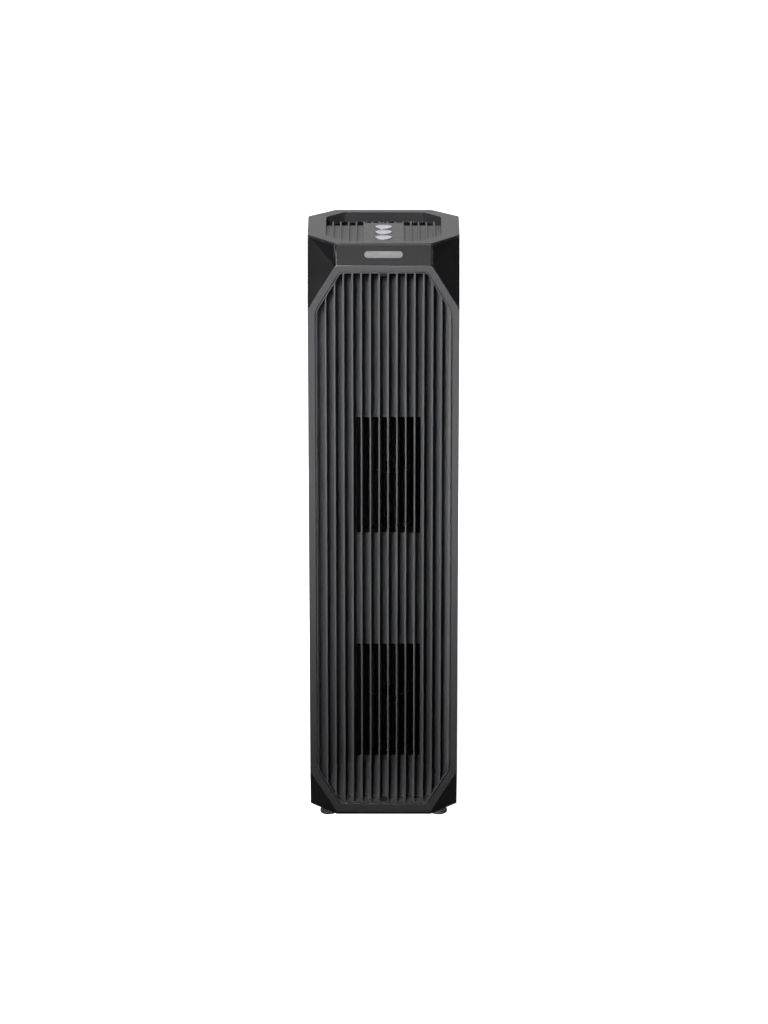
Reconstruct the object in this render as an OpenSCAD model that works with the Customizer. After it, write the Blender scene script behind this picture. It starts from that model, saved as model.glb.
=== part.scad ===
/* [Body] */
// Width across the side walls
body_w = 146; // [144:0.5:150]
// Depth, front to back
body_d = 106; // [105:0.5:108]
// Height, feet included
body_h = 600; // [600:1:604]
// Thickness of the moulded walls
wall = 2.2; // [2:0.1:2.4]
// Width of the cut at each front corner
front_cut = 26.5; // [25:0.5:28]
// Height of the slanted corner facets on the front
facet_h = 44; // [40:1:48]
// Height of the feet
foot_h = 3; // [2.5:0.5:4]
// Radius of the feet
foot_r = 8.4; // [7:0.1:9]

/* [Front] */
// Top edge of the front bezel
bezel_top = 577.3; // [575:0.1:578]
// Bottom edge of the front bezel
bezel_low = 4.8; // [4.6:0.1:5.2]
// Thickness of the bezel
bezel_t = 3; // [2.5:0.1:3.2]
// Width of the bezel's side strips
strip_w = 7; // [6.8:0.1:7.4]
// Number of vertical fins
fin_count = 14; // [10:2:14]
// Distance between fins
fin_pitch = 8.57; // [8.3:0.01:8.8]
// Thickness of a fin
fin_t = 1.4; // [1.2:0.1:1.8]
// Depth of the duct panel behind the front face
duct_depth = 22; // [21:0.5:23]
// Width of the two air mouths
mouth_w = 62.4; // [58:0.1:63]
// Height of each air mouth
mouth_h = 120.6; // [118:0.1:121]
// Middle height of the lower mouth
mouth_low_z = 117.1; // [117:0.1:118]
// Middle height of the upper mouth
mouth_high_z = 355.1; // [354:0.1:356]

/* [Top] */
// Distance between the top slats
slat_pitch = 7.5; // [7.4:0.05:7.6]
// Thickness of a slat
slat_t = 1.5; // [1.2:0.1:1.8]
// Height of the slats above their floor
slat_h = 4; // [3.8:0.1:4.2]
// Width of the control pad
pad_w = 39; // [38:0.5:40]
// Distance between the buttons
button_pitch = 16.6; // [16.2:0.1:17]
// Half of a button's width
button_rx = 7.8; // [7:0.1:8]
// Half of a button's depth
button_ry = 6.3; // [5.8:0.1:6.6]
// How far a button travels
button_travel = 0.8; // [0.5:0.1:0.8]

/* [Fan] */
// Radius of the crossflow wheels
wheel_r = 23; // [22:0.5:23.5]
// Number of blades on a wheel
blade_count = 28; // [20:1:30]
// Radius of the shaft
shaft_r = 3; // [2.5:0.5:3]
// Sideways place of the shaft
shaft_x = 4.8; // [4:0.1:6]
// Running gap between shaft and bush
run_gap = 0.05; // [0.02:0.01:0.1]

/* [Hidden] */
hw = body_w / 2;
hd = body_d / 2;
rear_cut_x = front_cut;
rear_cut_y = 21;
side_round = 20;
top_round = 5.5;
low_round = 2.5;
over_cut = 1.6 * front_cut;
over_rise = 0.6 * facet_h;
overrun = 12;

// Levels and planes
face_y = -hd;
bezel_y = face_y + bezel_t;
pocket_y = bezel_y + wall;
grille_y = face_y + 1;
duct_y = pocket_y + 1.5;
lip_in = 0.8;
lip_t = 0.8;
clip_h = 3.2;
fin_gap = 1.5;
panel_y = face_y + duct_depth;
panel_t = 2;
duct_flat = 38;
duct_r = 25;
flange_t = 1.5;
flange_in = 3;
flange_back = duct_y + flange_t;
end_t = 2;
screw_r = 1.1;
slope_z = 50;
slope_run = 7.4;
slope_end = 17.4;
slope = slope_run / (slope_z - slope_end);
groove_w = 2.5;
edge_round = 4;
seam = 0.4;
panel_back = panel_y + panel_t;
rear_in = hd - wall;
split_y = 8;
rim_z = body_h - 2.4;
base_low = foot_h;
base_top = base_low + 2.9;
open_low = 14;
plate_z = 588.5;
plate_t = 0.6;
open_high = 570.9;
duct_low = open_low + lip_in + lip_t - 0.1;

// Top well
well_x = 55.5;
well_front = -46;
well_rear = 45;
ledge_y = 16.5;
slat_top = body_h - 0.6;
floor_z = slat_top - slat_h;
cup_z = 560;
skirt_z = 590;
skirt_t = 1.6;
pad_front = well_front + 0.2;
pad_rear = 12.4;
button_mid = -17.2;
board_z = 583.6;
board_t = 1.6;
stem_gap = 0.05;
switch_top = board_z + board_t + 4;
post_r = 3;
pilot_r = 1.2;

// Rear
cover_x = 43;
cover_low = 26.4;
cover_high = 535.6;
bay_y = 28;

// Fan
hub_r = 8;
can_r = 26;
can_low = 208.5;
can_high = 263.5;
motor_mid = (can_low + can_high) / 2;
tooth_in = 15;
tooth_out = 21;
arm_r = 11;
bush_r = 5;

// ---- Outlines -------------------------------------------------------------

module plan(inset = 0)
    offset(delta = -inset)
        polygon([
            [-hw, -hd], [hw, -hd], [hw, hd - rear_cut_y], [hw - rear_cut_x, hd],
            [rear_cut_x - hw, hd], [-hw, hd - rear_cut_y]
        ]);

// The wedge that one front corner loses: front_z on the front edge, side_z where
// the facet meets the side edge, end_z at the top or bottom face.
module corner_facet(front_z, side_z, end_z, inset) {
    up = sign(end_z - side_z);
    a = [hw - front_cut, face_y, front_z];
    b = [hw, face_y, side_z];
    c = [hw, face_y + front_cut, end_z];
    n = up * cross(b - a, c - a);
    shift = n / norm(n) * inset;
    mid = (a + b + c) / 3;
    tri = [for (p = [a, b, c]) mid + (p - mid) * 4 - shift];
    far = [for (p = tri) p + [0, 0, up * 300]];
    faces = [[0, 1, 2], [5, 4, 3], [0, 3, 4, 1], [1, 4, 5, 2], [2, 5, 3, 0]];
    turned = [for (f = faces) [for (i = [len(f) - 1 : -1 : 0]) f[i]]];
    edge = hw - front_cut + hd - inset * sqrt(2);
    intersection() {
        polyhedron(concat(tri, far), up > 0 ? faces : turned);
        translate([0, 0, -200])
            linear_extrude(body_h + 400)
                polygon([[edge - 40 - hd, -hd - 40], [150, -hd - 40], [150, 150 - edge]]);
    }
}

// What the rounded upright edge beside a top facet loses
module edge_sliver() {
    t = edge_round * tan(22.5);
    far = t / sqrt(2);
    difference() {
        translate([hw - front_cut, face_y])
            polygon([[-t, 0], [-t, -1], [far, -1], [far + 1, far - 1], [far, far]]);
        translate([hw - front_cut - t, face_y + edge_round])
            circle(r = edge_round, $fn = 64);
    }
}

module column(inset = 0)
    difference() {
        translate([0, 0, foot_h + (inset > 0 ? -1 : 0)])
            linear_extrude(body_h - foot_h + (inset > 0 ? 2 : 0))
                plan(inset);
        for (m = [0, 1])
            mirror([m, 0, 0]) {
                corner_facet(bezel_top, bezel_top - facet_h, body_h, inset);
                corner_facet(bezel_low, bezel_low + facet_h, foot_h, inset);
                if (inset == 0)
                    translate([0, 0, bezel_top])
                        linear_extrude(body_h - bezel_top + 1)
                            edge_sliver();
            }
    }

module slab_y(low, high)
    translate([-100, low, -20])
        cube([200, high - low, body_h + 60]);

module slab_z(low, high)
    translate([-100, -100, low])
        cube([200, 200, high - low]);

// Outline of the front in width and height, moved inwards by inset
module front_outline(inset = 0)
    offset(delta = -inset)
        polygon([
            [front_cut - hw, bezel_top], [hw - front_cut, bezel_top],
            [hw, bezel_top - facet_h], [hw, bezel_low + facet_h],
            [hw - front_cut, bezel_low], [front_cut - hw, bezel_low],
            [-hw, bezel_low + facet_h], [-hw, bezel_top - facet_h]
        ]);

module soft(r)
    offset(r = r, $fn = 48)
        offset(delta = -r)
            children();

// The opening's long sides and slanted edges, which run on past both of its ends
module opening_sides(inset, low, high)
    intersection() {
        soft(side_round)
            offset(delta = -strip_w - inset)
                polygon([
                    [over_cut - hw, bezel_top + over_rise],
                    [hw - over_cut, bezel_top + over_rise],
                    [hw, bezel_top - facet_h], [hw, bezel_low + facet_h],
                    [hw - over_cut, bezel_low - over_rise],
                    [over_cut - hw, bezel_low - over_rise],
                    [-hw, bezel_low + facet_h], [-hw, bezel_top - facet_h]
                ]);
        translate([-hw, low])
            square([body_w, high - low]);
    }

module bezel_outline()
    intersection() {
        soft(top_round)
            opening_sides(-strip_w, bezel_low - overrun, bezel_top);
        soft(low_round)
            opening_sides(-strip_w, bezel_low, bezel_top + overrun);
    }

// The grille opening, moved inwards by inset, with soft corners
module front_opening(inset = 0)
    intersection() {
        soft(top_round)
            opening_sides(inset, open_low - overrun, open_high - inset);
        soft(low_round)
            opening_sides(inset, open_low + inset, open_high + overrun);
    }

// Stands an outline up and gives it a thickness between two y planes
module upright(low, high)
    translate([0, high, 0])
        rotate([90, 0, 0])
            linear_extrude(high - low)
                children();

module well_outline(inset = 0)
    offset(r = 6 - inset, $fn = 32)
        offset(delta = -6)
            polygon([
                [19 - well_x, well_front], [well_x - 19, well_front],
                [well_x, well_front + 19], [well_x, well_rear - 15],
                [38, well_rear], [-38, well_rear],
                [-well_x, well_rear - 15], [-well_x, well_front + 19]
            ]);

function oval(rx, ry) = [for (a = [0 : 7.5 : 352.5]) [rx * cos(a), ry * sin(a)]];

module tube_z(r_out, r_in, low, high)
    translate([0, 0, low])
        difference() {
            cylinder(r = r_out, h = high - low, $fn = 64);
            translate([0, 0, -1])
                cylinder(r = r_in, h = high - low + 2, $fn = 64);
        }

module rod_z(r, low, high)
    translate([0, 0, low])
        cylinder(r = r, h = high - low, $fn = 48);

module rod_y(r, low, high)
    translate([0, high, 0])
        rotate([90, 0, 0])
            cylinder(r = r, h = high - low, $fn = 48);

module rod_x(r, low, high)
    translate([low, 0, 0])
        rotate([0, 90, 0])
            cylinder(r = r, h = high - low, $fn = 48);

module on_shaft()
    translate([shaft_x, 0, 0])
        children();

// Places of repeated fasteners
case_points = [for (x = [-38, 38], z = [13.5, 549]) [x, z]];
base_points = [for (x = [-67, 67], y = [-10, 24]) [x, y]];
tray_points = [for (x = [-13, 13], y = [-41, 8]) [x, y]];
standoff_points = [for (x = [-26, 36], z = [449, 531]) [x, z]];
duct_points = [for (x = [-67.6, 67.6], z = [60, 173, 290, 407, 520]) [x, z]];
foot_y_front = -40.5;
foot_y_rear = 33;
foot_x_front = 55;
foot_x_rear = 52;

// ---- Casing ---------------------------------------------------------------

module front_shell()
    color([0.11, 0.11, 0.12])
        difference() {
            union() {
                intersection() {
                    difference() {
                        column();
                        intersection() {
                            column(wall);
                            slab_y(pocket_y, 100);
                        }
                    }
                    slab_y(-60, split_y);
                    slab_z(foot_h, rim_z);
                }
                for (p = base_points)
                    if (p[1] < 0)
                        translate([p[0], p[1], 0])
                            intersection() {
                                rod_z(4, base_top, 22);
                                translate([-p[0], -p[1], 0])
                                    column(1);
                            }
            }
            upright(-60, bezel_y)
                offset(delta = seam)
                    bezel_outline();
            upright(-60, pocket_y + 1)
                front_opening();
            upright(face_y - 1, face_y + plate_t)
                plate_outline();
            for (p = duct_points)
                translate([p[0], 0, p[1]])
                    rod_y(screw_r, bezel_y + 0.4, pocket_y + 1);
            for (p = base_points)
                if (p[1] < 0)
                    translate([p[0], p[1], 0])
                        rod_z(pilot_r, 0, 18);
        }

module plate_outline()
    translate([0, plate_z])
        hull()
            for (x = [-15, 15])
                translate([x, 0])
                    circle(r = 3.4, $fn = 32);

module name_plate()
    color([0.72, 0.73, 0.75])
        upright(face_y, face_y + plate_t)
            plate_outline();

module rear_shell()
    color([0.10, 0.10, 0.11])
        difference() {
            union() {
                intersection() {
                    difference() {
                        column();
                        column(wall);
                    }
                    slab_y(split_y, 60);
                    slab_z(foot_h, rim_z);
                }
                for (p = case_points)
                    translate([p[0], 0, p[1]])
                        rod_y(4.5, 12, rear_in + 1);
                for (p = base_points)
                    if (p[1] > 0)
                        translate([p[0], p[1], 0])
                            intersection() {
                                rod_z(4, base_top, 22);
                                translate([-p[0], -p[1], 0])
                                    column(1);
                            }
            }
            translate([-cover_x - 0.4, rear_in - 1, cover_low - 0.4])
                cube([2 * cover_x + 0.8, 10, cover_high - cover_low + 0.8]);
            for (p = case_points)
                translate([p[0], 0, p[1]]) {
                    rod_y(3.2, 16, hd + 1);
                    rod_y(1.7, 10, 17);
                }
            for (p = base_points)
                if (p[1] > 0)
                    translate([p[0], p[1], 0])
                        rod_z(pilot_r, 0, 18);
            translate([-10.4, rear_in - 1, 8])
                cube([20.8, 10, 10]);
        }

module base_plate()
    color([0.13, 0.13, 0.14])
        difference() {
            intersection() {
                column(wall + 0.2);
                slab_z(base_low, base_top);
                slab_y(pocket_y + 0.2, hd);
            }
            for (p = base_points)
                translate([p[0], p[1], 0]) {
                    rod_z(1.5, 0, 10);
                    rod_z(2.8, 0, base_low + 1.2);
                }
        }

module foot(x, y)
    color([0.16, 0.16, 0.17])
        translate([x, y, 0])
            rotate_extrude($fn = 64)
                polygon([
                    [0, 0], [foot_r - 0.6, 0], [foot_r, 0.6],
                    [foot_r, foot_h - 0.4], [foot_r - 0.4, foot_h], [0, foot_h]
                ]);

module foot_front_left() foot(-foot_x_front, foot_y_front);
module foot_front_right() foot(foot_x_front, foot_y_front);
module foot_rear_left() foot(-foot_x_rear, foot_y_rear);
module foot_rear_right() foot(foot_x_rear, foot_y_rear);

// ---- Front ----------------------------------------------------------------

module front_bezel()
    color([0.24, 0.24, 0.25])
        upright(face_y, bezel_y)
            difference() {
                bezel_outline();
                front_opening();
            }

module grille_frame()
    color([0.3, 0.3, 0.31]) {
        difference() {
            upright(grille_y, duct_y)
                front_opening(lip_in);
            upright(grille_y - 1, duct_y + 1)
                front_opening(lip_in + lip_t);
        }
        difference() {
            upright(pocket_y, duct_y)
                front_outline(flange_in);
            upright(pocket_y - 1, duct_y + 1)
                front_opening(lip_in + lip_t - 0.2);
            for (p = duct_points)
                translate([p[0], 0, p[1]])
                    rod_y(screw_r + 0.3, pocket_y - 1, duct_y + 1);
        }
    }

// Deep fins, which stop just short of the duct's back, its curved sides and its floor
module grille_fins()
    color([0.3, 0.3, 0.31])
        for (k = [0 : fin_count - 1])
            intersection() {
                upright(grille_y, panel_y)
                    front_opening(lip_in + lip_t);
                linear_extrude(body_h)
                    intersection() {
                        duct_space(fin_gap, grille_y);
                        translate([(k - (fin_count - 1) / 2) * fin_pitch - fin_t / 2, grille_y])
                            square([fin_t, duct_depth]);
                    }
                translate([-hw, 0, 0])
                    rotate([90, 0, 90])
                        linear_extrude(body_w)
                            polygon([
                                [grille_y, 0], [panel_y - fin_gap - slope_z * slope, 0],
                                [panel_y - fin_gap, slope_z], [panel_y - fin_gap, body_h],
                                [grille_y, body_h]
                            ]);
            }

// The two catches between the middle fins, at the top and the bottom
module grille_clips()
    color([0.08, 0.08, 0.09])
        for (z = [open_low + lip_in + lip_t, open_high - lip_in - lip_t - clip_h])
            translate([-(fin_pitch - fin_t) / 2, grille_y + 1.2, z])
                cube([fin_pitch - fin_t, 3.4, clip_h]);

// Plan of the duct: flat in the middle, with side walls that sweep forward
function duct_side(r_x, r_y, s) = [
    for (k = [0 : 12]) [s * (duct_flat + r_x * sin(k * 7.5)), duct_y + r_y * cos(k * 7.5)]
];

module duct_plan()
    polygon(concat(
        duct_side(duct_r, panel_y - duct_y, 1),
        [for (k = [12 : -1 : 0]) duct_side(duct_r + panel_t, panel_back - duct_y, 1)[k]],
        duct_side(duct_r + panel_t, panel_back - duct_y, -1),
        [for (k = [12 : -1 : 0]) duct_side(duct_r, panel_y - duct_y, -1)[k]]
    ));

// The space inside the duct, moved inwards by inset and cut off in front at low_y
module duct_space(inset, low_y) {
    r_y = panel_y - duct_y - inset;
    intersection() {
        polygon(concat(
            duct_side(duct_r - inset, r_y, 1),
            [[duct_flat + duct_r - inset, face_y], [inset - duct_flat - duct_r, face_y]],
            [for (k = [12 : -1 : 0]) duct_side(duct_r - inset, r_y, -1)[k]]
        ));
        translate([-hw, low_y])
            square([body_w, hd]);
    }
}

module duct_panel()
    color([0.2, 0.2, 0.21])
        intersection() {
            column(wall + 0.3);
            difference() {
                union() {
                    translate([0, 0, open_low - end_t - 0.5])
                        linear_extrude(open_high - open_low + 2 * end_t + 1)
                            duct_plan();
                    upright(duct_y, flange_back)
                        difference() {
                            front_outline(flange_in);
                            opening_sides(lip_in + lip_t - 0.2, duct_low, open_high + 0.5);
                        }
                    for (p = case_points)
                        translate([p[0], 0, p[1]])
                            rod_y(4, panel_back - 1, 12);
                }
                for (z = [mouth_low_z, mouth_high_z])
                    translate([shaft_x - mouth_w / 2, panel_y - 5, z - mouth_h / 2])
                        cube([mouth_w, 15, mouth_h]);
                for (p = case_points)
                    translate([p[0], 0, p[1]])
                        rod_y(1.4, -6, 13);
                for (p = duct_points)
                    translate([p[0], 0, p[1]])
                        rod_y(screw_r, duct_y - 1, flange_back + 1);
                for (p = motor_screw_points)
                    translate([p[0], 0, p[1]])
                        rod_y(screw_r, panel_y + 0.5, panel_back + 1);
            }
        }

// The duct's roof, and its floor with a groove and a slope that leads the air forward
module duct_ends()
    color([0.2, 0.2, 0.21])
        intersection() {
            column(wall + 0.3);
            union() {
                translate([0, 0, open_high + 0.5])
                    linear_extrude(end_t)
                        duct_space(0, flange_back);
                intersection() {
                    translate([-hw, 0, 0])
                        rotate([90, 0, 90])
                            linear_extrude(body_w)
                                floor_profile();
                    linear_extrude(slope_z + 1)
                        duct_space(0, flange_back);
                }
            }
        }

module floor_profile() {
    foot_y = panel_y - slope_run - 1;
    polygon([
        [panel_y + 1, slope_z], [panel_y, slope_z], [panel_y - slope_run, slope_end],
        [foot_y, slope_end - 1], [foot_y, duct_low - 1.5], [foot_y - groove_w, duct_low - 1.5],
        [foot_y - groove_w, duct_low], [flange_back - 1, duct_low],
        [flange_back - 1, open_low - end_t - 0.5], [panel_y + 1, open_low - end_t - 0.5]
    ]);
}

// ---- Top ------------------------------------------------------------------

module top_rim()
    color([0.26, 0.26, 0.27])
        difference() {
            union() {
                intersection() {
                    column();
                    slab_z(rim_z, body_h);
                }
                translate([0, 0, skirt_z])
                    linear_extrude(rim_z - skirt_z)
                        well_outline(-skirt_t);
                intersection() {
                    difference() {
                        column(wall + 0.2);
                        column(wall + 1.8);
                    }
                    slab_z(rim_z - 3.5, rim_z);
                    union() {
                        slab_y(-30, 30);
                        slab_y(rear_in - 2, 60);
                    }
                }
            }
            difference() {
                translate([0, 0, skirt_z - 1])
                    linear_extrude(20)
                        well_outline();
                intersection() {
                    difference() {
                        slab_z(floor_z - 4, floor_z - 2);
                        translate([0, 0, 500])
                            linear_extrude(100)
                                well_outline(1.5);
                    }
                    slab_y(-60, 12);
                }
            }
        }

slat_lines = [for (k = [0 : 13]) (k - 6.5) * slat_pitch];

module slat_tray()
    color([0.22, 0.22, 0.23])
        difference() {
            union() {
                intersection() {
                    translate([0, 0, floor_z - 2])
                        linear_extrude(2)
                            well_outline(0.1);
                    slab_y(-60, ledge_y);
                }
                intersection() {
                    translate([0, 0, skirt_z])
                        linear_extrude(floor_z - skirt_z - 1)
                            well_outline(0.1);
                    slab_y(ledge_y - 2, ledge_y);
                }
                for (x = slat_lines)
                    intersection() {
                        translate([0, 0, floor_z - 1])
                            linear_extrude(slat_h + 1)
                                well_outline(0.1);
                        translate([x - slat_t / 2, abs(x) < pad_w / 2 ? pad_rear + 0.2 : -60, 500])
                            cube([slat_t, 100, slat_top - 500]);
                        slab_y(-60, ledge_y);
                    }
                for (p = tray_points)
                    translate([p[0], p[1], 0])
                        rod_z(post_r, board_z + board_t, floor_z - 1);
            }
            for (y = button_ys)
                translate([0, y, 0])
                    rod_z(2.8, 500, 700);
            for (p = tray_points)
                translate([p[0], p[1], 0])
                    rod_z(pilot_r, 500, 591);
        }

button_ys = [for (k = [1, 0, -1]) button_mid + k * button_pitch];

module hand_cup()
    color([0.05, 0.05, 0.06])
        difference() {
            intersection() {
                translate([0, 0, cup_z])
                    linear_extrude(skirt_z - cup_z)
                        well_outline(-skirt_t);
                slab_y(ledge_y - 2, 60);
            }
            intersection() {
                translate([0, 0, cup_z + 2])
                    linear_extrude(60)
                        well_outline();
                slab_y(ledge_y, 60);
            }
        }

module control_pad()
    color([0.07, 0.07, 0.08])
        difference() {
            translate([-pad_w / 2, pad_front, floor_z])
                cube([pad_w, pad_rear - pad_front, slat_h]);
            translate([-pad_w / 2 + 1.5, pad_front + 1.5, floor_z - 1])
                cube([pad_w - 3, pad_rear - pad_front - 3, slat_h - 0.6]);
            for (y = button_ys)
                translate([0, y, 0])
                    linear_extrude(700)
                        polygon(oval(button_rx + 0.35, button_ry + 0.35));
        }

module button(y)
    color([0.75, 0.76, 0.78])
        translate([0, y, 0]) {
            difference() {
                translate([0, 0, floor_z + 1])
                    linear_extrude(body_h - floor_z - 1)
                        polygon(oval(button_rx, button_ry));
                translate([0, 0, body_h + 39.2])
                    sphere(r = 40, $fn = 96);
            }
            translate([0, 0, floor_z + 1])
                linear_extrude(1.1)
                    polygon(oval(button_rx + 1.2, button_ry + 1.2));
            rod_z(2.4, switch_top + stem_gap + button_travel, floor_z + 1.5);
        }

module button_back() button(button_ys[0]);
module button_middle() button(button_ys[1]);
module button_front() button(button_ys[2]);

module control_board()
    color([0.1, 0.3, 0.16])
        difference() {
            translate([-17, -45, board_z])
                cube([34, 57, board_t]);
            for (p = tray_points)
                translate([p[0], p[1], 0])
                    rod_z(1.5, 500, 700);
        }

module tact_switches()
    color([0.5, 0.5, 0.52])
        for (y = button_ys)
            translate([0, y, board_z + board_t]) {
                translate([-3, -3, 0])
                    cube([6, 6, 3.2]);
                rod_z(1.6, 3, switch_top - board_z - board_t);
            }

// ---- Electronics ----------------------------------------------------------

board_y = 10;

module board_standoffs()
    color([0.8, 0.7, 0.35])
        for (p = standoff_points)
            translate([p[0], 0, p[1]])
                difference() {
                    rod_y(3, panel_back, board_y);
                    rod_y(1.2, board_y - 8, board_y + 1);
                }

module power_board()
    color([0.1, 0.3, 0.16])
        difference() {
            translate([-30, board_y, 445])
                cube([71, 1.6, 90]);
            for (p = standoff_points)
                translate([p[0], 0, p[1]])
                    rod_y(1.5, board_y - 1, board_y + 3);
        }

module on_board(x, z, w, d, h)
    translate([x, board_y - d, z])
        cube([w, d, h]);

module board_components() {
    color([0.85, 0.7, 0.2])
        on_board(-18, 480, 22, 18, 26);
    color([0.15, 0.15, 0.3])
        for (x = [14, 27])
            translate([x, 0, 506])
                rod_y(5.5, board_y - 20, board_y);
    color([0.6, 0.6, 0.62])
        on_board(12, 460, 20, 10, 16);
    color([0.9, 0.9, 0.88]) {
        on_board(-30, 466, 7, 13, 12);
        on_board(34, 494, 7, 9, 12);
        on_board(-17, 520, 10, 9, 8);
    }
    color([0.1, 0.1, 0.1])
        on_board(-16, 458, 12, 3, 12);
}

// ---- Fan ------------------------------------------------------------------

// Spiral wall on one side and a short tongue on the other, between end plates
module scroll_walls() {
    polygon(concat(
        [[shaft_x + mouth_w / 2 + 0.4, panel_back]],
        [for (k = [0 : 14]) spiral(30.5 - 4.9 * k / 14, -40 + 115 * k / 14)],
        [for (k = [14 : -1 : 0]) spiral(32.5 - 4.9 * k / 14, -40 + 115 * k / 14)],
        [[shaft_x + mouth_w / 2 + 3, panel_back]]
    ));
    polygon(concat(
        [[shaft_x - mouth_w / 2 - 0.4, panel_back]],
        [for (k = [0 : 4]) spiral(25, 215 - 9 * k)],
        [for (k = [4 : -1 : 0]) spiral(27, 215 - 9 * k)],
        [[shaft_x - mouth_w / 2 - 3, panel_back]]
    ));
}

function spiral(r, a) = [shaft_x + r * cos(a), r * sin(a)];

module scroll(z)
    color([0.12, 0.12, 0.13])
        difference() {
            union() {
                translate([0, 0, z - mouth_h / 2 - 4])
                    linear_extrude(mouth_h + 8)
                        scroll_walls();
                for (s = [-1, 1])
                    translate([-30, panel_back, z + s * (mouth_h / 2 + 3) - 1])
                        cube([72, bay_y - panel_back, 2]);
            }
            on_shaft()
                rod_z(4.5, 0, body_h);
        }

module lower_scroll() scroll(mouth_low_z);
module upper_scroll() scroll(mouth_high_z);

lower_plate = mouth_low_z - mouth_h / 2 - 4;
upper_plate = mouth_high_z + mouth_h / 2 + 4;

module bearing_block(low, high, cap_low, cap_high)
    color([0.45, 0.45, 0.47])
        on_shaft() {
            tube_z(arm_r, shaft_r + run_gap, low, high);
            rod_z(arm_r, cap_low, cap_high);
        }

module lower_bearing_block() bearing_block(lower_plate - 6, lower_plate, lower_plate - 9, lower_plate - 6);
module upper_bearing_block() bearing_block(upper_plate, upper_plate + 6, upper_plate + 6, upper_plate + 9);

module rotor_shaft()
    color([0.7, 0.7, 0.72])
        on_shaft()
            rod_z(shaft_r, lower_plate - 5.5, upper_plate + 5.5);

module motor_rotor()
    color([0.4, 0.4, 0.42])
        on_shaft()
            tube_z(tooth_in - 0.6, shaft_r, motor_mid - 14, motor_mid + 14);

// One blade in plan: a thin arc between the rim's inner and outer circles
module blade()
    polygon(concat(
        [for (k = [0 : 6]) [wheel_r - 6.6 + k * 1.1, 1.5 * sin(k * 30)]],
        [for (k = [6 : -1 : 0]) [wheel_r - 6.6 + k * 1.1, 1.5 * sin(k * 30) + 0.8]]
    ));

module wheel(z, collar) {
    low = z - mouth_h / 2 + 1;
    high = z + mouth_h / 2 - 1;
    color([0.08, 0.08, 0.09])
        on_shaft()
            difference() {
                union() {
                    translate([0, 0, low])
                        linear_extrude(high - low)
                            for (k = [0 : blade_count - 1])
                                rotate(k * 360 / blade_count)
                                    blade();
                    for (c = [low, z - 0.8, high - 1.6])
                        rod_z(wheel_r + 0.4, c, c + 1.6);
                    rod_z(hub_r, collar > 0 ? high - 9 : low, collar > 0 ? high : low + 9);
                    rod_z(hub_r - 2, z - 4, z + 4);
                }
                rod_z(shaft_r, 0, body_h);
                translate([0, 0, screw_z(z, collar)])
                    rod_x(1.5, 0, hub_r + 1);
            }
}

function screw_z(z, collar) = z + collar * (mouth_h / 2 - 6);

module lower_wheel() wheel(mouth_low_z, 1);
module upper_wheel() wheel(mouth_high_z, -1);

module wheel_screws()
    color([0.3, 0.3, 0.32])
        on_shaft()
            for (w = [[mouth_low_z, 1], [mouth_high_z, -1]])
                translate([0, 0, screw_z(w[0], w[1])])
                    difference() {
                        rod_x(1.5, 0, hub_r);
                        rod_z(shaft_r, -5, 5);
                    }

module motor_can()
    color([0.55, 0.56, 0.58])
        on_shaft()
            difference() {
                union() {
                    rod_z(can_r, can_low, can_high);
                    rod_z(8, can_low - 4, can_high + 4);
                }
                rod_z(can_r - 1.5, can_low + 1.5, can_high - 1.5);
                rod_z(bush_r, can_low - 5, can_high + 5);
            }

module motor_stator()
    color([0.4, 0.4, 0.4])
        on_shaft()
            translate([0, 0, motor_mid - 14])
                linear_extrude(28)
                    difference() {
                        union() {
                            difference() {
                                circle(r = can_r - 1.5, $fn = 64);
                                circle(r = tooth_out, $fn = 64);
                            }
                            for (k = [0 : 5])
                                rotate(k * 60)
                                    translate([tooth_in, -3])
                                        square([tooth_out - tooth_in + 1, 6]);
                        }
                        circle(r = tooth_in, $fn = 64);
                    }

module motor_coils()
    color([0.72, 0.42, 0.2])
        on_shaft()
            for (k = [0 : 5])
                rotate(k * 60)
                    difference() {
                        translate([16.6, -5, motor_mid - 18])
                            cube([3.6, 10, 36]);
                        translate([10, -3, motor_mid - 14])
                            cube([20, 6, 28]);
                    }

module motor_bushes()
    color([0.75, 0.6, 0.35])
        on_shaft() {
            tube_z(bush_r, shaft_r + run_gap, can_low - 4, can_low + 1.5);
            tube_z(bush_r, shaft_r + run_gap, can_high - 1.5, can_high + 4);
        }

module damper_rings()
    color([0.06, 0.06, 0.06])
        on_shaft() {
            tube_z(arm_r, 8, can_low - 3.5, can_low);
            tube_z(arm_r, 8, can_high, can_high + 3.5);
        }

module motor_bracket()
    color([0.6, 0.6, 0.62])
        difference() {
            union() {
                translate([shaft_x - 30, panel_back, can_low - 22])
                    cube([60, 2, can_high - can_low + 44]);
                for (z = [can_low - 2.8, can_high + 0.8])
                    translate([shaft_x - 16, panel_back, z])
                        cube([32, 16 - panel_back, 2]);
            }
            on_shaft()
                rod_z(arm_r, 0, body_h);
            for (p = motor_screw_points)
                translate([p[0], 0, p[1]])
                    rod_y(1.6, panel_back - 1, panel_back + 3);
        }

motor_screw_points = [
    for (x = [shaft_x - 26, shaft_x + 26], z = [can_low - 18, can_high + 18]) [x, z]
];

module motor_screws()
    color([0.7, 0.7, 0.72])
        for (p = motor_screw_points)
            translate([p[0], 0, p[1]]) {
                rod_y(2.8, panel_back + 2, panel_back + 4);
                rod_y(screw_r, panel_y + 0.5, panel_back + 2);
            }

// ---- Filter and rear cover ------------------------------------------------

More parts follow.
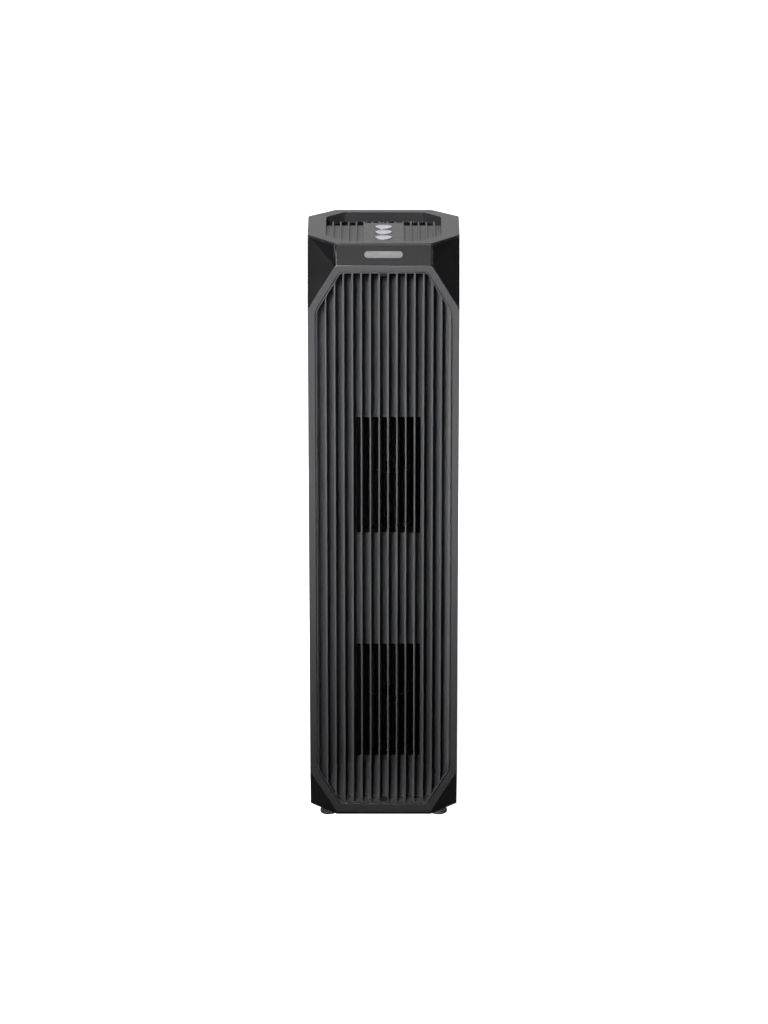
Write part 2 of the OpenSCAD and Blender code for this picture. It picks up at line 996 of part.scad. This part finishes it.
module filter_bay()
    color([0.14, 0.14, 0.15])
        difference() {
            translate([-cover_x - 2.4, bay_y, cover_low - 2.4])
                cube([2 * cover_x + 4.8, rear_in - bay_y, cover_high - cover_low + 4.8]);
            translate([-cover_x - 0.4, bay_y + 2, cover_low - 0.4])
                cube([2 * cover_x + 0.8, 50, cover_high - cover_low + 0.8]);
            for (z = [mouth_low_z, mouth_high_z])
                translate([-22, bay_y - 1, z - mouth_h / 2])
                    cube([54, 5, mouth_h]);
        }

filter_x = 42;
filter_low = 32;
filter_high = 530;

module filter_frame()
    color([0.85, 0.86, 0.87])
        difference() {
            translate([-filter_x, bay_y + 3, filter_low])
                cube([2 * filter_x, 13, filter_high - filter_low]);
            translate([3 - filter_x, bay_y + 2, filter_low + 3])
                cube([2 * filter_x - 6, 20, filter_high - filter_low - 6]);
        }

pleats = 62;

module filter_media() {
    step = (filter_high - filter_low - 6) / pleats;
    front = bay_y + 4;
    low = filter_low + 3;
    color([0.93, 0.94, 0.93])
        translate([3 - filter_x, 0, 0])
            rotate([90, 0, 90])
                linear_extrude(2 * filter_x - 6)
                    polygon(concat(
                        [for (k = [0 : pleats]) [front + (k % 2) * 9, low + k * step]],
                        [for (k = [pleats : -1 : 0]) [front + 1.2 + (k % 2) * 9, low + k * step]]
                    ));
}

module prefilter_mesh()
    color([0.12, 0.12, 0.13])
        translate([0, bay_y + 16, 0]) {
            for (k = [0 : 9])
                translate([-filter_x + 1 + k * (2 * filter_x - 3) / 9, 0, filter_low + 1])
                    cube([1, 0.5, filter_high - filter_low - 2]);
            for (k = [0 : 32])
                translate([1 - filter_x, 0.5, filter_low + 1 + k * (filter_high - filter_low - 3) / 32])
                    cube([2 * filter_x - 2, 0.5, 1]);
        }

module filter_pull_tab()
    color([0.2, 0.45, 0.7])
        translate([-8, bay_y + 17, 470])
            difference() {
                cube([16, 3.5, 26]);
                translate([2, -1, 2])
                    cube([12, 2.2, 20]);
            }

module rear_cover()
    color([0.11, 0.11, 0.12])
        difference() {
            union() {
                translate([-cover_x, rear_in, cover_low])
                    cube([2 * cover_x, wall, cover_high - cover_low]);
                for (z = [cover_low, cover_high - 2])
                    for (x = [-24, 12])
                        translate([x, rear_in - 6, z])
                            cube([12, 7, 2]);
            }
            for (x = [-38.5, 2.5], k = [0 : 65])
                translate([x, rear_in - 1, 44 + k * 7])
                    cube([36, 5, 3.4]);
            translate([-13, hd - 1.2, cover_high - 16])
                cube([26, 3, 10]);
        }

// ---- Mains inlet and leads ------------------------------------------------

inlet_z = 13;

module mains_inlet()
    color([0.06, 0.06, 0.06])
        difference() {
            union() {
                translate([-10.4, 38, inlet_z - 5])
                    cube([20.8, hd - 38, 10]);
                translate([-12.4, rear_in - 2.2, inlet_z - 6.4])
                    cube([24.8, 2.2, 12.8]);
            }
            upright(43, 60)
                translate([0, inlet_z])
                    hull()
                        for (x = [-4.3, 4.3])
                            translate([x, 0])
                                circle(r = 3.6, $fn = 32);
        }

module inlet_pins()
    color([0.8, 0.75, 0.6])
        for (x = [-4.3, 4.3])
            translate([x, 0, inlet_z])
                rod_y(1.2, 43, 51);

// A lead is a chain of straight runs with round corners
module lead(points, r)
    for (k = [0 : len(points) - 2]) {
        v = points[k + 1] - points[k];
        translate(points[k])
            rotate([0, acos(v[2] / norm(v)), atan2(v[1], v[0])])
                cylinder(r = r, h = norm(v), $fn = 24);
        if (k > 0)
            translate(points[k])
                sphere(r = r, $fn = 24);
    }

module motor_lead()
    color([0.75, 0.2, 0.15])
        lead([
            [shaft_x - can_r, 0, 240], [-48, 0, 240], [-48, 0, 472], [-30, 0, 472]
        ], 1.5);

module mains_lead()
    color([0.1, 0.1, 0.1])
        lead([
            [0, 38, inlet_z], [0, 5, inlet_z], [0, 5, 26], [56, 5, 26], [56, 5, 500], [41, 5, 500]
        ], 2.4);

module control_lead()
    color([0.75, 0.75, 0.72])
        lead([[-10, 3, board_z], [-10, 3, 528]], 1.6);

// ---- Fasteners ------------------------------------------------------------

module case_screws()
    color([0.25, 0.25, 0.26])
        for (p = case_points)
            translate([p[0], 0, p[1]]) {
                rod_y(3, 16, 18.4);
                rod_y(1.4, -4, 16);
            }

module duct_screws()
    color([0.25, 0.25, 0.26])
        for (p = duct_points)
            translate([p[0], 0, p[1]]) {
                rod_y(2, flange_back, flange_back + 1.5);
                rod_y(screw_r, bezel_y + 0.4, flange_back);
            }

module base_screws()
    color([0.25, 0.25, 0.26])
        for (p = base_points)
            translate([p[0], p[1], 0]) {
                rod_z(2.5, base_low + 0.2, base_low + 1.2);
                rod_z(pilot_r, base_low + 1.2, 16);
            }

module tray_screws()
    color([0.7, 0.7, 0.72])
        for (p = tray_points)
            translate([p[0], p[1], 0]) {
                rod_z(2.4, board_z - 1.4, board_z);
                rod_z(pilot_r, board_z, 590);
            }

module board_screws()
    color([0.7, 0.7, 0.72])
        for (p = standoff_points)
            translate([p[0], 0, p[1]]) {
                rod_y(2.6, board_y + 1.6, board_y + 3.2);
                rod_y(1.2, board_y - 6, board_y + 1.6);
            }

front_shell();
rear_shell();
base_plate();
foot_front_left();
foot_front_right();
foot_rear_left();
foot_rear_right();
front_bezel();
grille_frame();
grille_fins();
grille_clips();
duct_panel();
duct_ends();
name_plate();
top_rim();
slat_tray();
hand_cup();
control_pad();
button_back();
button_middle();
button_front();
control_board();
tact_switches();
power_board();
board_components();
board_standoffs();
lower_scroll();
upper_scroll();
lower_bearing_block();
upper_bearing_block();
rotor_shaft();
motor_rotor();
lower_wheel();
upper_wheel();
wheel_screws();
motor_can();
motor_stator();
motor_coils();
motor_bushes();
damper_rings();
motor_bracket();
filter_bay();
filter_frame();
filter_media();
prefilter_mesh();
filter_pull_tab();
rear_cover();
mains_inlet();
inlet_pins();
motor_lead();
mains_lead();
control_lead();
case_screws();
duct_screws();
base_screws();
tray_screws();
board_screws();
motor_screws();
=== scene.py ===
import math

import bpy
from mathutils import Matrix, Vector


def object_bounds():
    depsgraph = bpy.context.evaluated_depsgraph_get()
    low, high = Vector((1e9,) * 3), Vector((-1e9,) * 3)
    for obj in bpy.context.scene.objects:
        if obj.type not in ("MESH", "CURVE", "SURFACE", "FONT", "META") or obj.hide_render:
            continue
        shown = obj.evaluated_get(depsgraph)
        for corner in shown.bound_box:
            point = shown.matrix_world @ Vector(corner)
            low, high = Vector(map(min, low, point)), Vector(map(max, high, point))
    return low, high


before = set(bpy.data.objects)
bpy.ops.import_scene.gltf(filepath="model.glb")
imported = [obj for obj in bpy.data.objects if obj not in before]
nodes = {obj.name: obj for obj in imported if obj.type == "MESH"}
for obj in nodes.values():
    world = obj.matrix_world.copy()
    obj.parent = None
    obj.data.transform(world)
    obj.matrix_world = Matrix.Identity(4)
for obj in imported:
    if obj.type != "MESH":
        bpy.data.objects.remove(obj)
cad_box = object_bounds()

MM = 0.001
FRONT = cad_box[0].y


# ---- Camera ---------------------------------------------------------------

CAMERA_DISTANCE = 4.55      # from the front face, along the floor
CAMERA_HEIGHT = 2.0654
CAMERA_PITCH = math.radians(20.93)
CAMERA_LENS = 175.8
CAMERA_SIDE = 0.0004


def add_camera():
    data = bpy.data.cameras.new("camera")
    data.lens = CAMERA_LENS
    data.sensor_width = 36.0
    data.clip_end = 60.0
    camera = bpy.data.objects.new("camera", data)
    camera.location = (CAMERA_SIDE, FRONT - CAMERA_DISTANCE, CAMERA_HEIGHT)
    camera.rotation_euler = (math.pi / 2 - CAMERA_PITCH, 0.0, 0.0)
    bpy.context.scene.collection.objects.link(camera)
    bpy.context.scene.camera = camera


# ---- Materials ------------------------------------------------------------

class Shader:
    """A Principled material with the node helpers that the recipes below share."""

    def __init__(self, name, color, roughness, metallic=0.0, specular=0.5):
        self.material = bpy.data.materials.new(name)
        self.material.use_nodes = True
        self.tree = self.material.node_tree
        self.shader = self.tree.nodes["Principled BSDF"]
        self.color = color
        self.shader.inputs["Base Color"].default_value = (*color, 1.0)
        self.shader.inputs["Roughness"].default_value = roughness
        self.shader.inputs["Metallic"].default_value = metallic
        self.shader.inputs["Specular IOR Level"].default_value = specular
        self.coords = self.node("ShaderNodeTexCoord")
        self.heights = []

    def node(self, kind, **values):
        made = self.tree.nodes.new(kind)
        for key, value in values.items():
            setattr(made, key, value)
        return made

    def link(self, a, b):
        self.tree.links.new(a, b)

    def noise(self, scale, detail=2.0, stretch=(1.0, 1.0, 1.0), rough=0.5):
        mapping = self.node("ShaderNodeMapping")
        mapping.inputs["Scale"].default_value = stretch
        self.link(self.coords.outputs["Object"], mapping.inputs["Vector"])
        noise = self.node("ShaderNodeTexNoise")
        noise.inputs["Scale"].default_value = scale
        noise.inputs["Detail"].default_value = detail
        noise.inputs["Roughness"].default_value = rough
        self.link(mapping.outputs["Vector"], noise.inputs["Vector"])
        return noise.outputs["Fac"]

    def ramp(self, value, low, high):
        node = self.node("ShaderNodeMapRange")
        node.inputs["From Min"].default_value = 0.3
        node.inputs["From Max"].default_value = 0.7
        node.inputs["To Min"].default_value = low
        node.inputs["To Max"].default_value = high
        self.link(value, node.inputs["Value"])
        return node.outputs["Result"]

    def vary_color(self, value, amount):
        """The base colour, between a share darker and a share lighter."""
        mix = self.node("ShaderNodeMix", data_type="RGBA")
        dark = [c * (1 - amount) for c in self.color]
        light = [min(1.0, c * (1 + amount)) for c in self.color]
        mix.inputs[6].default_value = (*dark, 1.0)
        mix.inputs[7].default_value = (*light, 1.0)
        self.link(self.ramp(value, 0.0, 1.0), mix.inputs[0])
        self.link(mix.outputs[2], self.shader.inputs["Base Color"])

    def vary_roughness(self, value, low, high):
        self.link(self.ramp(value, low, high), self.shader.inputs["Roughness"])

    def bump(self, value, distance, strength=1.0):
        node = self.node("ShaderNodeBump")
        node.inputs["Distance"].default_value = distance
        node.inputs["Strength"].default_value = strength
        self.link(value, node.inputs["Height"])
        if self.heights:
            self.link(self.heights[-1], node.inputs["Normal"])
        self.heights.append(node.outputs["Normal"])
        self.link(node.outputs["Normal"], self.shader.inputs["Normal"])


def moulded(name, color, rough, grain=1600.0, depth=0.02, spread=0.02, vary=0.06, specular=0.5):
    """Moulded plastic: fine spark grain, a slow wave of gloss and a little tone."""
    made = Shader(name, color, rough, specular=specular)
    slow = made.noise(9.0, detail=3.0)
    fine = made.noise(grain, detail=1.0, rough=0.6)
    made.vary_color(slow, vary)
    made.vary_roughness(made.noise(60.0, detail=4.0), rough - spread, rough + spread)
    made.bump(fine, depth * MM)
    return made.material


def gloss(name, color, rough, wave=0.02, vary=0.08, specular=0.5):
    """Polished plastic: nearly smooth, with the long soft waves of a moulding."""
    made = Shader(name, color, rough, specular=specular)
    made.vary_color(made.noise(14.0), vary)
    made.vary_roughness(made.noise(220.0, detail=5.0), rough * 0.7, rough * 1.4)
    made.bump(made.noise(25.0, detail=1.0), wave * MM)
    return made.material


def brushed(name, color, rough, along=(1.0, 1.0, 1.0), depth=0.01, vary=0.12):
    """Metal or metal paint with fine drawn lines; along is small on the lines' axis."""
    made = Shader(name, color, rough, metallic=1.0)
    lines = made.noise(2200.0, detail=2.0, stretch=along)
    made.vary_color(lines, vary)
    made.vary_roughness(lines, rough * 0.8, rough * 1.25)
    made.bump(lines, depth * MM)
    return made.material


def fibre(name, color):
    """Filter paper: matt, with matted fibres."""
    made = Shader(name, color, 0.95)
    made.vary_color(made.noise(700.0, detail=6.0), 0.10)
    made.bump(made.noise(1500.0, detail=6.0), 0.08 * MM)
    made.shader.inputs["Sheen Weight"].default_value = 0.3
    return made.material


MATERIALS = {
    "shell": moulded("shell_black", (0.002, 0.002, 0.0023), 0.30),
    "rear": moulded("rear_black", (0.018, 0.018, 0.020), 0.46),
    "bezel": moulded("bezel_graphite", (0.017, 0.017, 0.018), 0.36),
    "fin": moulded("fin_graphite", (0.038, 0.038, 0.040), 0.50, specular=0.05),
    "duct": moulded("duct_graphite", (0.044, 0.044, 0.046), 0.80, depth=0.01, specular=0.05),
    "rim": moulded("rim_graphite", (0.010, 0.010, 0.011), 0.30),
    "tray": moulded("tray_graphite", (0.016, 0.016, 0.017), 0.36),
    "cup": gloss("cup_black", (0.001, 0.001, 0.0012), 0.22),
    "pad": gloss("pad_black", (0.002, 0.002, 0.0022), 0.20),
    "inner": moulded("inner_black", (0.003, 0.003, 0.003), 0.80, specular=0.15),
    "silver": brushed("button_silver", (0.66, 0.67, 0.69), 0.30, along=(0.05, 1.0, 1.0)),
    "plate": brushed("plate_silver", (0.26, 0.265, 0.275), 0.34, along=(0.04, 1.0, 1.0)),
    "rubber": moulded("foot_rubber", (0.030, 0.030, 0.032), 0.55, grain=900.0, depth=0.05),
    "steel": brushed("steel", (0.55, 0.56, 0.58), 0.32, along=(1.0, 1.0, 0.05)),
    "zinc": brushed("zinc_plate", (0.50, 0.51, 0.53), 0.40, along=(1.0, 1.0, 0.1)),
    "copper": brushed("copper_wire", (0.72, 0.33, 0.14), 0.35, along=(0.1, 0.1, 1.0)),
    "bronze": brushed("bronze", (0.62, 0.46, 0.24), 0.35),
    "board": gloss("board_green", (0.015, 0.110, 0.045), 0.35),
    "component": moulded("component", (0.30, 0.28, 0.22), 0.50),
    "paper": fibre("filter_paper", (0.80, 0.81, 0.80)),
    "frame": moulded("filter_frame", (0.42, 0.43, 0.44), 0.55),
    "tab": moulded("pull_tab_blue", (0.03, 0.12, 0.30), 0.50),
    "red": moulded("lead_red", (0.38, 0.02, 0.015), 0.50),
    "black": moulded("lead_black", (0.015, 0.015, 0.015), 0.50),
    "white": moulded("lead_white", (0.55, 0.55, 0.53), 0.50),
}

# CAD node: (material, edge rounding in millimetres)
FINISH = {
    "front_shell": ("shell", 0.5),
    "rear_shell": ("rear", 0.5),
    "base_plate": ("inner", 0.3),
    "foot_front_left": ("rubber", 0.3),
    "foot_front_right": ("rubber", 0.3),
    "foot_rear_left": ("rubber", 0.3),
    "foot_rear_right": ("rubber", 0.3),
    "front_bezel": ("bezel", 0.45),
    "grille_frame": ("fin", 0.3),
    "grille_fins": ("fin", 0.35),
    "grille_clips": ("inner", 0.3),
    "duct_panel": ("duct", 0.5),
    "duct_ends": ("duct", 0.5),
    "name_plate": ("plate", 0.1),
    "top_rim": ("rim", 0.6),
    "slat_tray": ("tray", 0.3),
    "hand_cup": ("cup", 0.4),
    "control_pad": ("pad", 0.35),
    "button_back": ("silver", 0.3),
    "button_middle": ("silver", 0.3),
    "button_front": ("silver", 0.3),
    "control_board": ("board", 0.1),
    "tact_switches": ("component", 0.1),
    "power_board": ("board", 0.1),
    "board_components": ("component", 0.3),
    "board_standoffs": ("bronze", 0.2),
    "lower_scroll": ("inner", 0.2),
    "upper_scroll": ("inner", 0.2),
    "lower_bearing_block": ("zinc", 0.3),
    "upper_bearing_block": ("zinc", 0.3),
    "rotor_shaft": ("steel", 0.3),
    "motor_rotor": ("zinc", 0.3),
    "lower_wheel": ("inner", 0.0),
    "upper_wheel": ("inner", 0.0),
    "wheel_screws": ("steel", 0.1),
    "motor_can": ("zinc", 0.8),
    "motor_stator": ("zinc", 0.1),
    "motor_coils": ("copper", 0.8),
    "motor_bushes": ("bronze", 0.2),
    "damper_rings": ("rubber", 0.4),
    "motor_bracket": ("zinc", 0.3),
    "filter_bay": ("inner", 0.4),
    "filter_frame": ("frame", 0.5),
    "filter_media": ("paper", 0.0),
    "prefilter_mesh": ("inner", 0.0),
    "filter_pull_tab": ("tab", 0.4),
    "rear_cover": ("rear", 0.35),
    "mains_inlet": ("inner", 0.3),
    "inlet_pins": ("bronze", 0.2),
    "motor_lead": ("red", 0.0),
    "mains_lead": ("black", 0.0),
    "control_lead": ("white", 0.0),
    "case_screws": ("steel", 0.2),
    "duct_screws": ("steel", 0.2),
    "base_screws": ("steel", 0.2),
    "tray_screws": ("steel", 0.2),
    "board_screws": ("steel", 0.2),
    "motor_screws": ("steel", 0.2),
}


WELD_DISTANCE = 0.004 * MM
FLAT_ANGLE = math.radians(0.5)
SHARP_ANGLE = math.radians(28)


def round_edges(obj, width):
    """Welds the solid's faces together, drops the flat ones' inner edges and rounds the sharp ones."""
    weld = obj.modifiers.new("weld", "WELD")
    weld.merge_threshold = WELD_DISTANCE
    flat = obj.modifiers.new("flat", "DECIMATE")
    flat.decimate_type = "DISSOLVE"
    flat.angle_limit = FLAT_ANGLE
    bevel = obj.modifiers.new("round", "BEVEL")
    bevel.limit_method = "ANGLE"
    bevel.angle_limit = SHARP_ANGLE
    bevel.width = width * MM
    bevel.segments = 3
    bevel.harden_normals = True
    bevel.use_clamp_overlap = True


def finish_nodes():
    for name, (material, width) in FINISH.items():
        obj = nodes[name]
        obj.data.materials.clear()
        obj.data.materials.append(MATERIALS[material])
        if width:
            round_edges(obj, width)


# ---- Studio ---------------------------------------------------------------

KEY_AIM = (0.0, -0.05, 0.47)
KEY_DISTANCE = 2.4
KEY_HEIGHT = math.radians(31)
KEY_TURNS = (10, 18, 26)        # degrees to the left of the front
KEY_SIZE = (0.34, 0.5)
KEY_POWER = 2.0
KEY_SPREAD = 24.0
FLOOR_GLOW = 0.06
DIM_GLOW = 0.02
FADE_LOW = -0.20                # height of a view's direction where the floor's glow starts to fade
SHEEN_LIFT = 0.002
SHEEN_SIZE = (0.8, 1.5)
SHEEN_POWER = 7.0
SHEEN_GAP = 0.6
FLOOR_HALF = 14.0


def add_area(name, place, aim, size, power, spread=180.0):
    """A soft box that the camera doesn't see."""
    data = bpy.data.lights.new(name, "AREA")
    data.shape = "RECTANGLE"
    data.size, data.size_y = size
    data.energy = power
    data.spread = math.radians(spread)
    light = bpy.data.objects.new(name, data)
    light.location = place
    light.rotation_euler = (Vector(aim) - Vector(place)).to_track_quat("-Z", "Y").to_euler()
    light.visible_camera = False
    bpy.context.scene.collection.objects.link(light)


def add_key():
    """A curved soft box at the left of the front, made of narrow-beam flat panels."""
    reach = KEY_DISTANCE * math.cos(KEY_HEIGHT)
    rise = KEY_DISTANCE * math.sin(KEY_HEIGHT)
    for turn in KEY_TURNS:
        side = math.radians(turn)
        place = (-reach * math.sin(side), -reach * math.cos(side), KEY_AIM[2] + rise)
        add_area("key_%d" % turn, place, KEY_AIM, KEY_SIZE, KEY_POWER, spread=KEY_SPREAD)


def add_sheen():
    """A pale strip of floor before the fan, seen only in the glossy reflections of its front."""
    data = bpy.data.lights.new("sheen", "AREA")
    data.shape = "RECTANGLE"
    data.size, data.size_y = SHEEN_SIZE
    data.energy = SHEEN_POWER
    sheen = bpy.data.objects.new("sheen", data)
    sheen.location = (0.0, FRONT - SHEEN_GAP - SHEEN_SIZE[1] / 2, SHEEN_LIFT)
    sheen.rotation_euler = (math.pi, 0.0, 0.0)
    sheen.visible_camera = False
    sheen.visible_diffuse = False
    bpy.context.scene.collection.objects.link(sheen)


def add_floor():
    mesh = bpy.data.meshes.new("floor")
    half = FLOOR_HALF
    corners = [(-half, -half, 0.0), (half, -half, 0.0), (half, half, 0.0), (-half, half, 0.0)]
    mesh.from_pydata(corners, [], [(0, 1, 2, 3)])
    floor = bpy.data.objects.new("floor", mesh)
    bpy.context.scene.collection.objects.link(floor)
    paint = Shader("floor_white", (0.90, 0.90, 0.90), 0.9)
    paint.vary_color(paint.noise(3.0), 0.01)
    paint.shader.inputs["Emission Color"].default_value = (1.0, 1.0, 1.0, 1.0)
    paint.shader.inputs["Emission Strength"].default_value = 1.0
    mesh.materials.append(paint.material)
    floor.visible_diffuse = False
    floor.visible_glossy = False
    floor.visible_shadow = False


def add_world():
    """White to the camera; to the fan, a soft pale floor below and a dark room above."""
    world = bpy.data.worlds.new("studio")
    world.use_nodes = True
    tree = world.node_tree
    seen = tree.nodes["Background"]
    seen.inputs["Color"].default_value = (1.0, 1.0, 1.0, 1.0)
    seen.inputs["Strength"].default_value = 1.0
    room = tree.nodes.new("ShaderNodeBackground")
    room.inputs["Color"].default_value = (1.0, 1.0, 1.0, 1.0)
    coords = tree.nodes.new("ShaderNodeTexCoord")
    split = tree.nodes.new("ShaderNodeSeparateXYZ")
    fade = tree.nodes.new("ShaderNodeMapRange")
    fade.inputs["From Min"].default_value = FADE_LOW
    fade.inputs["From Max"].default_value = 0.0
    fade.inputs["To Min"].default_value = FLOOR_GLOW
    fade.inputs["To Max"].default_value = DIM_GLOW
    path = tree.nodes.new("ShaderNodeLightPath")
    mix = tree.nodes.new("ShaderNodeMixShader")
    tree.links.new(coords.outputs["Generated"], split.inputs[0])
    tree.links.new(split.outputs["Z"], fade.inputs["Value"])
    tree.links.new(fade.outputs["Result"], room.inputs["Strength"])
    tree.links.new(path.outputs["Is Camera Ray"], mix.inputs[0])
    tree.links.new(room.outputs[0], mix.inputs[1])
    tree.links.new(seen.outputs[0], mix.inputs[2])
    tree.links.new(mix.outputs[0], tree.nodes["World Output"].inputs["Surface"])
    bpy.context.scene.world = world


def add_studio():
    add_world()
    add_floor()
    add_key()
    add_area("back_card", (0.0, 3.0, 1.7), (0.0, 0.0, 0.6), (3.4, 2.4), 22.0)
    add_area("rear_fill", (-1.3, 2.0, 0.30), (0.0, 0.0, 0.30), (1.2, 0.5), 16.0)
    add_sheen()
    view = bpy.context.scene.view_settings
    view.view_transform = "Standard"
    view.look = "None"


add_camera()
finish_nodes()
add_studio()

bpy.context.view_layer.update()
